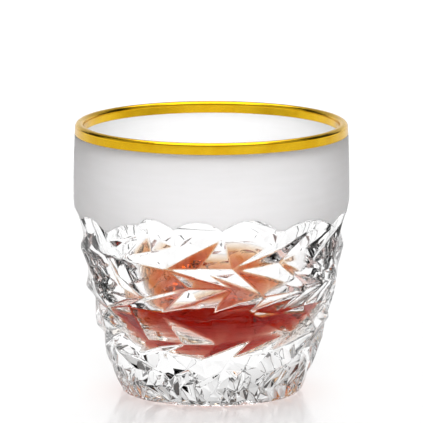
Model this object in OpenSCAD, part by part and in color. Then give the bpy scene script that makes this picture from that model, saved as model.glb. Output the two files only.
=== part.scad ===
// Shot glass with a heavy base: a cut crystal body with an irregular broken-ice pattern,
// a satin enamel band round its plain collar, a gilded lip, and a small measure of drink.
// Millimetres, +Z up, origin at the centre of the foot, on the table.

/* [Body] */
// Overall height of the glass, without the gilding
height = 54; // [50:0.5:62]
// Diameter across the lip
rim_d = 54; // [50:0.5:62]
// Diameter of the barrel where it meets the table
foot_d = 35.8; // [32:0.2:42]
// How far the barrel swells past the lip, on each side
swell = 0.3; // [0.1:0.05:0.8]
// Height of the widest point of the barrel
swell_h = 40; // [38:0.5:44]
// Thickness of the fire-polished lip
lip_t = 1.5; // [1.2:0.1:2.4]

/* [Cavity] */
// Thickness of the glass under the middle of the bowl
base_t = 10; // [7:0.5:12]
// Radius of the round bottom of the bowl
bowl_r = 20.8; // [16:0.2:23]
// Length of straight wall below the lip, inside
straight_lip = 2.5; // [2.3:0.1:8]

/* [Foot] */
// Radius of the hollow ground into the underside
punt_r = 14.4; // [8:0.2:15]
// Depth of that hollow at its middle
punt_depth = 0.9; // [0.4:0.1:2]
// Bevel ground round the edge of the foot
foot_bevel = 0.5; // [0.2:0.1:1]

/* [Cut pattern] */
// Height at which the cut pattern meets the plain collar
cut_h = 38; // [34:0.2:40]
// How far single scallops rise above that height
scallop = 1.4; // [0.4:0.1:3]
// Depth of the deepest cuts below the barrel
cut_depth = 1.8; // [1:0.1:2.4]
// Depth of the deepest of the fine cuts near the foot
fine_depth = 0.6; // [0.4:0.1:1.4]
// Depth of the shallowest points of the pattern below the barrel
cut_skin = 0.12; // [0.05:0.01:0.4]
// Number of cuts round the glass
columns = 19; // [14:1:24]
// Number of fine cuts near the foot for each large one above
fineness = 3; // [2:1:3]
// Number of rows of large cuts
large_rows = 6; // [4:1:7]
// Number of rows of fine cuts
fine_rows = 4; // [3:1:5]
// Sideways shift of a corner, as a share of the column pitch
side_shift = 0.3; // [0:0.01:0.34]
// Upward shift of a corner, as a share of the row pitch
rise_shift = 0.3; // [0:0.01:0.34]
// Share of the cells that come to a point in their middle
pointed_share = 0.75; // [0:0.05:1]
// Which of the possible irregular patterns is cut
pattern_seed = 5; // [1:1:40]

/* [Coatings] */
// Thickness of the satin enamel
satin_t = 0.12; // [0.08:0.01:0.2]
// Thickness of the gilding
gilt_t = 0.1; // [0.08:0.01:0.2]
// Height of the gilding outside, from the top of the lip
gilt_outer_h = 2.1; // [1.5:0.1:4]
// Height of the gilding inside, from the top of the lip
gilt_inner_h = 2.1; // [1.5:0.1:2.2]

/* [Drink] */
// Height of the drink's surface above the table
drink_h = 19; // [16:0.5:32]
// How far the drink climbs the glass round its edge
meniscus = 0.9; // [0.3:0.1:1.5]
// Gap between the drink and the glass
drink_gap = 0.05; // [0.02:0.01:0.1]

/* [Hidden] */
$fn = 96;

// The barrel: two arcs that are both upright at its widest point.
max_r = rim_d / 2 + swell;
foot_r = foot_d / 2;
lip_r = lip_t / 2;
lip_x = rim_d / 2 - lip_r;
lip_z = height - lip_r;
function arc_radius(rise, run) = (rise * rise + run * run) / (2 * run);
lower_r = arc_radius(swell_h, max_r - foot_r);
upper_r = ((lip_z - swell_h) * (lip_z - swell_h) + (lip_r + swell) * (lip_r + swell) - lip_r * lip_r)
    / (2 * swell);
// Angle above level at which the upper arc runs into the round lip.
lip_angle = asin((lip_z - swell_h) / (upper_r - lip_r));

function barrel_r(z) =
    let (r = z < swell_h ? lower_r : upper_r) max_r - r + sqrt(r * r - (z - swell_h) * (z - swell_h));

// The cavity: a round bowl that runs into a long arc, upright where the straight wall begins.
cavity_r = lip_x - lip_r;
wall_z = height - straight_lip;
bowl_z = base_t + bowl_r;
flank_r = (cavity_r * cavity_r + (wall_z - base_t) * (wall_z - base_t - 2 * bowl_r))
    / (2 * (cavity_r - bowl_r));
flank_x = cavity_r - flank_r;
// Angle below level at which the flank becomes the bowl.
bowl_angle = atan2(wall_z - bowl_z, -flank_x);

// Points along an arc, from one angle to another, without any that lie on the axis.
function arc(cx, cz, r, from, to, steps) =
    [for (s = [0:steps]) let (a = from + (to - from) * s / steps, x = cx + r * cos(a))
        if (x > axis_margin) [x, cz + r * sin(a)]];
axis_margin = 0.001;

flank_steps = 24;
bowl_steps = 12;
barrel_steps = 30;
collar_steps = 12;
lip_steps = 10;
punt_steps = 6;

// The wall of the bowl, from a height down to the middle of its floor, an even gap inside the glass.
function bowl_wall(top_z, gap) =
    let (
        on_flank = top_z > bowl_z - bowl_r * sin(bowl_angle),
        flank_angle = asin((wall_z - top_z) / (flank_r - gap)),
        round_angle = on_flank ? bowl_angle : asin((bowl_z - top_z) / (bowl_r - gap)))
    concat(
        on_flank ? arc(flank_x, wall_z, flank_r - gap, -flank_angle, -bowl_angle, flank_steps) : [],
        arc(0, bowl_z, bowl_r - gap, -round_angle, -90, bowl_steps),
        [[0, base_t + gap]]);

// The outside of the barrel from one height to another, an even distance outside the glass.
function barrel_side(from_z, to_z, out, steps) =
    [for (s = [0:steps]) let (z = from_z + (to_z - from_z) * s / steps) [barrel_r(z) + out, z]];

collar_top_z = lip_z + lip_r * sin(lip_angle);
collar_pitch = (collar_top_z - swell_h) / collar_steps;
lip_pitch = 180 / lip_steps;
punt_sphere = arc_radius(punt_r, punt_depth);

module glass_blank() {
    rotate_extrude()
    polygon(concat(
        [[0, punt_depth]],
        arc(0, punt_depth - punt_sphere, punt_sphere, 90, 90 - asin(punt_r / punt_sphere), punt_steps),
        [[barrel_r(0) - foot_bevel, 0]],
        barrel_side(foot_bevel, swell_h, 0, barrel_steps),
        barrel_side(swell_h + collar_pitch, collar_top_z, 0, collar_steps - 1),
        arc(lip_x, lip_z, lip_r, lip_angle + lip_pitch, 180, lip_steps),
        bowl_wall(wall_z, 0)));
}

// A repeatable number from 0 to 1 for one use at one place of the pattern, and one from -1 to 1.
// The factors are arbitrary: they only scatter neighbouring places well.
row_factor = 127.1;
column_factor = 311.7;
use_factor = 74.7;
seed_factor = 53.3;
scatter = 43758.5453;
function noise(i, j, use) =
    let (
        place = i * row_factor + (j % row_columns(i)) * column_factor,
        s = sin(place + use * use_factor + pattern_seed * seed_factor) * scatter)
    s - floor(s);
function sway(i, j, use) = 2 * noise(i, j, use) - 1;

// The uses of such a number.
to_turn = 1;
to_lift = 2;
to_choose_depth = 3;
to_deepen = 4;
to_deepen_middle = 5;
to_lift_scallop = 6;
to_choose_point = 7;
to_choose_fold = 8;

// Rows of corners: fine ones near the foot, where the lowest lies under the table and is trimmed off.
rows = fine_rows + large_rows;
last_row = rows - 1;
lowest_row_z = -0.7;
last_row_drop = 4;
last_row_z = cut_h - last_row_drop;
row_growth = 1.4;
function row_columns(i) = i < fine_rows ? columns * fineness : columns;
function row_depth(i) = i < fine_rows ? fine_depth : cut_depth;
function row_z(i) = lowest_row_z + (last_row_z - lowest_row_z) * pow(i / last_row, row_growth);
function row_pitch(i) = row_z(i) - row_z(i - 1);
function polar(r, a, z) = [r * cos(a), r * sin(a), z];

// How deep points of the pattern lie, as ranges of shares of the full depth of their row.
high_corner = [0, 0.2];
low_corner = [0.55, 1];
last_corner = [0.2, 0.5];
low_middle = [0.7, 1];
function share(range, t) = range[0] + (range[1] - range[0]) * t;

// Corners stand high or lie low by chance, but those of the last row all lie between.
function corner_depth(i, j) =
    let (t = noise(i, j, to_deepen))
    i == last_row ? row_depth(i) * share(last_corner, t)
    : noise(i, j, to_choose_depth) < 0.5 ? cut_skin + row_depth(i) * share(high_corner, t)
    : row_depth(i) * share(low_corner, t);
function corner_angle(i, j) = 360 / row_columns(i) * (j + (i % 2) / 2 + side_shift * sway(i, j, to_turn));
function corner_z(i, j) = row_z(i) + (i == 0 ? 0 : rise_shift * row_pitch(i) * sway(i, j, to_lift));
function corner(i, j) =
    let (z = corner_z(i, j)) polar(barrel_r(max(z, 0)) - corner_depth(i, j), corner_angle(i, j), z);

// Number of lower edges under one upper edge, and the corners round a cell, anticlockwise from inside.
function lower_edges(i) = row_columns(i) / row_columns(i + 1);
function cell_corners(i, j) =
    concat([for (k = [0:lower_edges(i)]) [i, j * lower_edges(i) + k]], [[i + 1, j + 1], [i + 1, j]]);
function mean(v) = v * [for (x = v) 1] / len(v);

// The middle of a cell stands high when the corners lie low, and lies low when they stand high.
peak_drop = 0.15;
function middle(i, j) =
    let (
        around = cell_corners(i, j),
        depth = mean([for (c = around) corner_depth(c[0], c[1])]),
        a = mean([for (c = around) corner_angle(c[0], c[1])]),
        z = mean([for (c = around) corner_z(c[0], c[1])]),
        t = noise(i, j, to_deepen_middle),
        new_depth = depth < row_depth(i) / 2 ? row_depth(i) * share(low_middle, t) : cut_skin + peak_drop * t)
    polar(barrel_r(max(z, 0)) - new_depth, a, z);

// Each scallop is one flat cut through two corners of the last row and a point on the collar.
scallop_clearance = 1;
scallop_top_z = cut_h + 2 * scallop + scallop_clearance;
function scallop_angle(j) = (corner_angle(last_row, j) + corner_angle(last_row, j + 1)) / 2;
function scallop_normal(j) =
    let (
        a = corner(last_row, j),
        z = cut_h + scallop * sway(last_row, j, to_lift_scallop),
        p = polar(barrel_r(z), scallop_angle(j), z))
    cross(corner(last_row, j + 1) - a, p - a);
// How far from the axis the cut of scallop j is, at an angle, at the top of the pattern.
function scallop_reach(j, a) =
    let (n = scallop_normal(j))
    (n * corner(last_row, j) - n[2] * scallop_top_z) / (n[0] * cos(a) + n[1] * sin(a));
function scallop_middle(j) = polar(scallop_reach(j, scallop_angle(j)), scallop_angle(j), scallop_top_z);
function scallop_ridge(j) =
    let (a = corner_angle(last_row, j))
    polar(min(scallop_reach(j, a), scallop_reach(j + columns - 1, a)), a, scallop_top_z);

// Numbers of the points: corners row by row, middles, then four rings of the top, and the two ends.
clear_of_lip = 3;
function first_corner(i) = i < fine_rows ? i * columns * fineness
    : (fine_rows * fineness + i - fine_rows) * columns;
function corner_no(i, j) = first_corner(i) + j % row_columns(i);
function first_middle(i) = first_corner(rows) + (i < fine_rows ? i * columns * fineness
    : ((fine_rows - 1) * fineness + i - fine_rows + 1) * columns);
function cells(i) = row_columns(i + 1);
first_ridge = first_middle(last_row);
first_scallop = first_ridge + columns;
first_upper = first_scallop + columns;
under_no = first_upper + columns;
function ring_no(first, j) = first + j % columns;

pattern_points = concat(
    [for (i = [0:last_row], j = [0:row_columns(i) - 1]) corner(i, j)],
    [for (i = [0:last_row - 1], j = [0:cells(i) - 1]) middle(i, j)],
    [for (j = [0:columns - 1]) scallop_ridge(j)],
    [for (j = [0:columns - 1]) scallop_middle(j)],
    [for (j = [0:columns - 1]) polar(max_r + clear_of_lip, corner_angle(last_row, j), height + clear_of_lip)],
    [[0, 0, lowest_row_z], [0, 0, height + clear_of_lip]]);

// Facets of one cell: a fan round its middle, or two across a fold.
function cell_facets(i, j) =
    let (
        ring = [for (c = cell_corners(i, j)) corner_no(c[0], c[1])],
        n = len(ring),
        m = first_middle(i) + j)
    n > 4 || noise(i, j, to_choose_point) < pointed_share
        ? [for (k = [0:n - 1]) [ring[(k + 1) % n], ring[k], m]]
        : noise(i, j, to_choose_fold) < 0.5 ? [[ring[1], ring[0], ring[2]], [ring[3], ring[2], ring[0]]]
        : [[ring[1], ring[0], ring[3]], [ring[2], ring[1], ring[3]]];

function scallop_facets(j) =
    let (
        a = corner_no(last_row, j), b = corner_no(last_row, j + 1),
        m = first_scallop + j, t = first_ridge + j, u = ring_no(first_ridge, j + 1),
        v = first_upper + j, w = ring_no(first_upper, j + 1))
    [[b, a, m], [a, t, m], [u, b, m], [t, v, m], [v, w, m], [w, u, m],
     [w, v, under_no + 1]];

pattern_facets = concat(
    [for (i = [0:last_row - 1], j = [0:cells(i) - 1]) each cell_facets(i, j)],
    [for (j = [0:columns - 1]) each scallop_facets(j)],
    [for (j = [0:row_columns(0) - 1]) [corner_no(0, j), corner_no(0, j + 1), under_no]]);

// All that the cuts leave of the barrel; above the scallops it stands clear of the collar.
module cut_pattern() {
    polyhedron(points = pattern_points, faces = pattern_facets, convexity = 10);
}

module crystal_body() {
    color("whitesmoke", 0.4)
    intersection() {
        glass_blank();
        cut_pattern();
    }
}

// Enamel on the collar, from the gilding down to the scallops that are cut through it.
coat_edge_z = height - gilt_outer_h;
coat_steps = 16;
module satin_band() {
    color("white")
    intersection() {
        rotate_extrude()
        polygon(concat(
            barrel_side(last_row_z, coat_edge_z, 0, coat_steps),
            barrel_side(coat_edge_z, last_row_z, satin_t, coat_steps)));
        cut_pattern();
    }
}

// Gilding on the top of the collar, over the lip, and on the straight wall inside.
gilt_steps = 3;
module gilded_lip() {
    color("goldenrod")
    rotate_extrude()
    polygon(concat(
        barrel_side(coat_edge_z, collar_top_z, gilt_t, gilt_steps),
        arc(lip_x, lip_z, lip_r + gilt_t, lip_angle + lip_pitch, 180, lip_steps),
        [[cavity_r - gilt_t, height - gilt_inner_h], [cavity_r, height - gilt_inner_h]],
        arc(lip_x, lip_z, lip_r, 180, lip_angle + lip_pitch, lip_steps),
        barrel_side(collar_top_z, coat_edge_z, 0, gilt_steps)));
}

// The drink fills the bottom of the bowl, and climbs the glass a little round its edge.
meniscus_reach = 2.4;
meniscus_steps = 6;
drink_top_z = drink_h + meniscus;
drink_wall = bowl_wall(drink_top_z, drink_gap);
drink_edge_r = drink_wall[0][0];
module drink() {
    color("firebrick", 0.8)
    rotate_extrude()
    polygon(concat(
        drink_wall,
        [[0, drink_h]],
        [for (s = [0:meniscus_steps - 1]) let (t = s / meniscus_steps)
            [drink_edge_r - meniscus_reach * (1 - t), drink_h + meniscus * t * t]]));
}

crystal_body();
satin_band();
gilded_lip();
drink();
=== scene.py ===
"""A gilded cut crystal shot glass, its satin collar and a measure of drink, in a white studio."""
import math

import bmesh
import bpy
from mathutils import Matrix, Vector


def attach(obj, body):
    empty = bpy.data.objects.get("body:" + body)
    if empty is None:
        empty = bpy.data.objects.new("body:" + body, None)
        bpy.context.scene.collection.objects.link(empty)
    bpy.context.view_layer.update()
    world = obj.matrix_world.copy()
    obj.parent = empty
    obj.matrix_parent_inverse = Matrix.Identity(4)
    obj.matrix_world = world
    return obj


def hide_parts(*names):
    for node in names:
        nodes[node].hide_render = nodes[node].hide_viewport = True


MM = 0.001
WHITE = (1, 1, 1, 1)

# Facets of the cut glass: the least angle that makes an edge, and how far polishing has rounded it.
EDGE_ANGLE = math.radians(7)
EDGE_ROUNDING = 0.5 * MM
ROUNDING_SEGMENTS = 3
# The rounding is narrower where facets are small: this share of the narrowest facet at either end.
ROUNDED_SHARE = 0.3
# Faces that differ by less than this angle are one facet, and corners this close are one corner.
FLATNESS = math.radians(0.05)
SAME_CORNER = 0.001 * MM
# Coats and drink wet the glass, so each is swollen until it lies a little way into it.
COAT_WETTING = 0.04 * MM
DRINK_WETTING = 0.14 * MM

# Glass and drink. Their reflections are held back, because they wash out the drink behind the glass.
CRYSTAL_IOR = 1.54
DRINK_IOR = 1.36
REFLECTION_TINT = (0.05, 0.05, 0.05, 1)
# What is left of lamp light after one surface of each.
CRYSTAL_SHADE = (0.92, 0.92, 0.93, 1)
DRINK_SHADE = (0.9, 0.45, 0.15, 1)
# The colour of the drink in depth, and how much it absorbs per metre.
DRINK_COLOUR = (0.88, 0.5, 0.02, 1)
DRINK_DENSITY = 440

# The part of a noise value's range where a colour passes from its first shade to its second.
NOISE_MIDDLE = (0.3, 0.7)
# Satin enamel: faint streaks round the collar, a fine grain, and light that spreads inside the coat.
SATIN_SHADES = ((0.86, 0.865, 0.89, 1), (0.885, 0.89, 0.92, 1))
SATIN_ROUGHNESS = (0.42, 0.55)
STREAKS_PER_METRE = 900
STREAK_STRETCH = (0.12, 0.12, 1)
GRAINS_PER_METRE = 6000
GRAIN_STRENGTH = 0.15
GRAIN_HEIGHT = 0.02 * MM
SATIN_SPREAD = 4.0 * MM
# Gilding: slight clouds in its colour and its polish.
GOLD_SHADES = ((0.78, 0.44, 0.010, 1), (0.88, 0.55, 0.02, 1))
GOLD_ROUGHNESS = (0.15, 0.3)
CLOUDS_PER_METRE = 260

# The camera looks slightly down on the glass from far away.
CAMERA_DISTANCE = 1.43
CAMERA_HEIGHT = 0.285
AIM_HEIGHT = 0.0360
FRAME_WIDTH = 0.0843
VIEW_LIMIT = 20

# Even light from all round, on surfaces that are not mirrors.
AMBIENT = 0.3
# As glass and gilding see it, the world is white up to the first height and greyest from the second.
# A height is the sine of the angle above the horizon.
SKY_HEIGHTS = (0.1, 0.55)
SKY_STRENGTHS = (1.0, 0.4)

FLOOR_SIZE = 8
FLOOR_GREY = (0.6, 0.6, 0.6, 1)
FLOOR_ROUGHNESS = 0.12
FLOOR_GLOW = 0.15
FLOOR_GLOW_THROUGH_GLASS = 0.2

LAMP_AIM = (0, 0, 0.03)

# Greys of the cards round the glass. Bearings are in degrees from the camera's side, to its right.
BLACK = 0.004
DARK = 0.1
DIM = 0.25
# Tall strips round the glass and small bars low behind it, which draw fine lines in its facets.
STRIP_BEARINGS = (-172, -158, -118, -96, -74, -50, 50, 72, 92, 146, 160, 174)
BAR_BEARINGS = (-168, -156, -145, 147, 159, 171)


def material(name):
    """A new node material, with its tree, its Principled shader and its output."""
    made = bpy.data.materials.new(name)
    made.use_nodes = True
    nodes = made.node_tree.nodes
    return made, made.node_tree, nodes["Principled BSDF"], nodes["Material Output"]


def put_on(obj, mat):
    obj.data.materials.clear()
    obj.data.materials.append(mat)


def noise(tree, scale, detail=2, stretch=(1, 1, 1)):
    """Noise over object coordinates, in noise cells per metre, stretched along each axis."""
    coords = tree.nodes.new("ShaderNodeTexCoord")
    mapping = tree.nodes.new("ShaderNodeMapping")
    mapping.inputs["Scale"].default_value = stretch
    made = tree.nodes.new("ShaderNodeTexNoise")
    made.inputs["Scale"].default_value = scale
    made.inputs["Detail"].default_value = detail
    tree.links.new(coords.outputs["Object"], mapping.inputs["Vector"])
    tree.links.new(mapping.outputs["Vector"], made.inputs["Vector"])
    return made.outputs["Fac"]


def shade_between(tree, value, shades):
    """A colour that passes from one shade to another as a noise value rises."""
    made = tree.nodes.new("ShaderNodeValToRGB")
    for element, position, shade in zip(made.color_ramp.elements, NOISE_MIDDLE, shades):
        element.position = position
        element.color = shade
    tree.links.new(value, made.inputs["Fac"])
    return made.outputs["Color"]


def map_range(tree, value, ends, start=(0, 1)):
    """Maps a value from the range where it starts to the range between two ends."""
    made = tree.nodes.new("ShaderNodeMapRange")
    limits = ("From Min", "From Max", "To Min", "To Max")
    for limit, number in zip(limits, (*start, *ends)):
        made.inputs[limit].default_value = number
    tree.links.new(value, made.inputs["Value"])
    return made.outputs["Result"]


def bump(tree, shader, height, strength, distance):
    made = tree.nodes.new("ShaderNodeBump")
    made.inputs["Strength"].default_value = strength
    made.inputs["Distance"].default_value = distance
    tree.links.new(height, made.inputs["Height"])
    tree.links.new(made.outputs["Normal"], shader.inputs["Normal"])


def math_node(tree, operation, first, second):
    """The result of a named operation on two values, each a socket or a number."""
    made = tree.nodes.new("ShaderNodeMath")
    made.operation = operation
    for socket, value in zip(made.inputs, (first, second)):
        if isinstance(value, (int, float)):
            socket.default_value = value
        else:
            tree.links.new(value, socket)
    return made.outputs[0]


def pass_light(tree, shader, output, tint):
    """Lamp light goes straight on through the surface, tinted, instead of stopping at it."""
    path = tree.nodes.new("ShaderNodeLightPath")
    clear = tree.nodes.new("ShaderNodeBsdfTransparent")
    clear.inputs["Color"].default_value = tint
    mix = tree.nodes.new("ShaderNodeMixShader")
    tree.links.new(path.outputs["Is Shadow Ray"], mix.inputs["Fac"])
    tree.links.new(shader.outputs["BSDF"], mix.inputs[1])
    tree.links.new(clear.outputs["BSDF"], mix.inputs[2])
    tree.links.new(mix.outputs["Shader"], output.inputs["Surface"])


def see_through(name, ior, tint):
    """A clear material. The tint is what is left of lamp light after one surface."""
    mat, tree, shader, output = material(name)
    shader.inputs["Base Color"].default_value = WHITE
    shader.inputs["Transmission Weight"].default_value = 1
    shader.inputs["Roughness"].default_value = 0
    shader.inputs["IOR"].default_value = ior
    shader.inputs["Specular Tint"].default_value = REFLECTION_TINT
    pass_light(tree, shader, output, tint)
    return mat, tree, output


def crystal():
    return see_through("crystal", CRYSTAL_IOR, CRYSTAL_SHADE)[0]


def amber_drink():
    mat, tree, output = see_through("drink", DRINK_IOR, DRINK_SHADE)
    absorption = tree.nodes.new("ShaderNodeVolumeAbsorption")
    absorption.inputs["Color"].default_value = DRINK_COLOUR
    absorption.inputs["Density"].default_value = DRINK_DENSITY
    tree.links.new(absorption.outputs["Volume"], output.inputs["Volume"])
    return mat


def satin_enamel():
    mat, tree, shader, _ = material("satin_enamel")
    streaks = noise(tree, STREAKS_PER_METRE, detail=3, stretch=STREAK_STRETCH)
    tree.links.new(shade_between(tree, streaks, SATIN_SHADES), shader.inputs["Base Color"])
    tree.links.new(map_range(tree, streaks, SATIN_ROUGHNESS), shader.inputs["Roughness"])
    bump(tree, shader, noise(tree, GRAINS_PER_METRE), GRAIN_STRENGTH, GRAIN_HEIGHT)
    shader.inputs["Subsurface Weight"].default_value = 1
    shader.inputs["Subsurface Radius"].default_value = (1, 1, 1)
    shader.inputs["Subsurface Scale"].default_value = SATIN_SPREAD
    return mat


def gilding():
    mat, tree, shader, _ = material("gilding")
    clouds = noise(tree, CLOUDS_PER_METRE)
    tree.links.new(shade_between(tree, clouds, GOLD_SHADES), shader.inputs["Base Color"])
    shader.inputs["Metallic"].default_value = 1
    tree.links.new(map_range(tree, clouds, GOLD_ROUGHNESS), shader.inputs["Roughness"])
    return mat


def swell(obj, distance):
    """Moves a node's whole surface outwards, with a modifier."""
    made = obj.modifiers.new("wetting", "DISPLACE")
    made.strength = distance
    made.mid_level = 0


def facet_breadth(face):
    return 2 * face.calc_area() / max(edge.calc_length() for edge in face.edges)


def weigh_edges(shape):
    """Gives each sharp edge as much of the full rounding as the facets round it have room for."""
    weights = shape.edges.layers.float.new("bevel_weight_edge")
    breadth = {face: facet_breadth(face) for face in shape.faces}
    for edge in shape.edges:
        if edge.calc_face_angle(0) > EDGE_ANGLE:
            room = min(breadth[face] for end in edge.verts for face in end.link_faces)
            edge[weights] = min(1, ROUNDED_SHARE * room / EDGE_ROUNDING)


def whole_facets(node):
    """A new mesh of a node's shape, with each flat facet as one face."""
    shape = bmesh.new()
    shape.from_mesh(node.data)
    bmesh.ops.remove_doubles(shape, verts=shape.verts, dist=SAME_CORNER)
    bmesh.ops.dissolve_limit(shape, angle_limit=FLATNESS, verts=shape.verts, edges=shape.edges)
    weigh_edges(shape)
    mesh = bpy.data.meshes.new("cut_crystal")
    shape.to_mesh(mesh)
    shape.free()
    return mesh


def round_edges(piece):
    rounding = piece.modifiers.new("rounding", "BEVEL")
    rounding.width = EDGE_ROUNDING
    rounding.segments = ROUNDING_SEGMENTS
    rounding.limit_method = "WEIGHT"
    rounding.use_clamp_overlap = False
    rounding.harden_normals = True


def facet_the_crystal(node):
    """The cut body: the node's facets as whole flat faces, their edges slightly rounded by polishing."""
    mesh = whole_facets(node)
    mesh.shade_smooth()
    mesh.set_sharp_from_angle(angle=EDGE_ANGLE)
    piece = bpy.data.objects.new("cut_crystal", mesh)
    bpy.context.scene.collection.objects.link(piece)
    round_edges(piece)
    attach(piece, "root")
    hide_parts("crystal_body")
    return piece


def camera():
    data = bpy.data.cameras.new("camera")
    made = bpy.data.objects.new("camera", data)
    bpy.context.scene.collection.objects.link(made)
    place = Vector((0, -CAMERA_DISTANCE, CAMERA_HEIGHT))
    aim = Vector((0, 0, AIM_HEIGHT))
    made.location = place
    made.rotation_euler = (aim - place).to_track_quat("-Z", "Y").to_euler()
    data.angle = 2 * math.atan(FRAME_WIDTH / 2 / (aim - place).length)
    data.clip_end = VIEW_LIMIT
    bpy.context.scene.camera = made


def white_world():
    """White round the horizon and grey overhead as the glass and gilding see it; even light for the rest."""
    world = bpy.data.worlds.new("studio")
    bpy.context.scene.world = world
    world.use_nodes = True
    tree = world.node_tree
    path = tree.nodes.new("ShaderNodeLightPath")
    coords = tree.nodes.new("ShaderNodeTexCoord")
    split = tree.nodes.new("ShaderNodeSeparateXYZ")
    tree.links.new(coords.outputs["Generated"], split.inputs[0])
    sky = map_range(tree, split.outputs["Z"], SKY_STRENGTHS, SKY_HEIGHTS)
    look = math_node(tree, "MAXIMUM", path.outputs["Is Glossy Ray"], path.outputs["Is Transmission Ray"])
    direct = math_node(tree, "LESS_THAN", path.outputs["Diffuse Depth"], 1)
    seen = math_node(tree, "MULTIPLY", look, direct)
    strength = math_node(tree, "MULTIPLY", seen, math_node(tree, "SUBTRACT", sky, AMBIENT))
    strength = math_node(tree, "ADD", strength, AMBIENT)
    strength = math_node(tree, "MAXIMUM", strength, path.outputs["Is Camera Ray"])
    background = tree.nodes["Background"]
    background.inputs["Color"].default_value = WHITE
    tree.links.new(strength, background.inputs["Strength"])


def floor():
    """Glossy white. It glows a little for rays that come straight from the camera or through the glass."""
    bpy.ops.mesh.primitive_plane_add(size=FLOOR_SIZE, location=(0, 0, 0))
    made = bpy.context.object
    made.name = "floor"
    mat, tree, shader, _ = material("floor")
    shader.inputs["Base Color"].default_value = FLOOR_GREY
    shader.inputs["Roughness"].default_value = FLOOR_ROUGHNESS
    shader.inputs["Emission Color"].default_value = WHITE
    path = tree.nodes.new("ShaderNodeLightPath")
    plain = math_node(tree, "MULTIPLY", path.outputs["Is Camera Ray"], FLOOR_GLOW)
    through = math_node(tree, "MULTIPLY", path.outputs["Is Transmission Ray"], FLOOR_GLOW_THROUGH_GLASS)
    tree.links.new(math_node(tree, "ADD", plain, through), shader.inputs["Emission Strength"])
    put_on(made, mat)


def lamp(name, place, size, watts, seen=False):
    """A softbox turned to the glass. If it is seen, it shows in the glass and the gilding."""
    data = bpy.data.lights.new(name, "AREA")
    data.shape = "RECTANGLE"
    data.size, data.size_y = size
    data.energy = watts
    made = bpy.data.objects.new(name, data)
    bpy.context.scene.collection.objects.link(made)
    made.location = place
    made.rotation_euler = (Vector(LAMP_AIM) - Vector(place)).to_track_quat("-Z", "Y").to_euler()
    made.visible_glossy = seen
    made.visible_transmission = seen


def flag(name, bearing, distance, size, foot, grey=BLACK, mirrored=True):
    """A dark card turned to the glass, seen through it, and in its reflections too if it is mirrored.

    The foot is the height of its lower edge. It throws no shadow, and the camera doesn't see it.
    """
    turn = math.radians(bearing)
    place = (distance * math.sin(turn), -distance * math.cos(turn), foot + size[1] / 2)
    bpy.ops.mesh.primitive_plane_add(size=1, location=place)
    made = bpy.context.object
    made.name = name
    made.scale = (*size, 1)
    made.rotation_euler = (math.radians(90), 0, turn)
    mat, tree, shader, _ = material(name)
    shader.inputs["Base Color"].default_value = (grey, grey, grey, 1)
    shader.inputs["Roughness"].default_value = 1
    shader.inputs["Specular IOR Level"].default_value = 0
    put_on(made, mat)
    made.visible_camera = False
    made.visible_diffuse = False
    made.visible_shadow = False
    made.visible_glossy = mirrored


def row_of_flags(name, bearings, **card):
    """A numbered flag at each bearing, seen through the glass but not in its reflections."""
    for number, bearing in enumerate(bearings):
        flag(f"{name}_{number}", bearing, mirrored=False, **card)


def studio():
    white_world()
    floor()
    lamp("front_box", (0, -0.9, 0.6), size=(0.8, 0.6), watts=8.2)
    lamp("top_box", (0, 0.1, 0.9), size=(0.9, 0.9), watts=6, seen=True)
    lamp("back_box", (0, 0.9, 0.6), size=(0.8, 0.6), watts=7.5)
    flag("left_flag", -120, distance=0.2, size=(0.12, 0.2), foot=0.08)
    flag("right_flag", 112, distance=0.2, size=(0.16, 0.2), foot=0.08)
    row_of_flags("strip", STRIP_BEARINGS, distance=0.3, size=(0.03, 0.3), foot=0.09, grey=DARK)
    row_of_flags("bar", BAR_BEARINGS, distance=0.14, size=(0.004, 0.05), foot=0.004, grey=DIM)


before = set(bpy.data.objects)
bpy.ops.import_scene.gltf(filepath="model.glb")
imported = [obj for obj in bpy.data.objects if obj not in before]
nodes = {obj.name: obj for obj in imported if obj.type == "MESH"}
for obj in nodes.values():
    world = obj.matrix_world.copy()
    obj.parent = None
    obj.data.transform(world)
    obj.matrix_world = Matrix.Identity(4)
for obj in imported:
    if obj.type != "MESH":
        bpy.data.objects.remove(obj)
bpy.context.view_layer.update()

camera()
put_on(facet_the_crystal(nodes["crystal_body"]), crystal())
put_on(nodes["satin_band"], satin_enamel())
put_on(nodes["gilded_lip"], gilding())
put_on(nodes["drink"], amber_drink())
swell(nodes["satin_band"], COAT_WETTING)
swell(nodes["gilded_lip"], COAT_WETTING)
swell(nodes["drink"], DRINK_WETTING)
studio()

bpy.context.scene.view_settings.view_transform = "Standard"
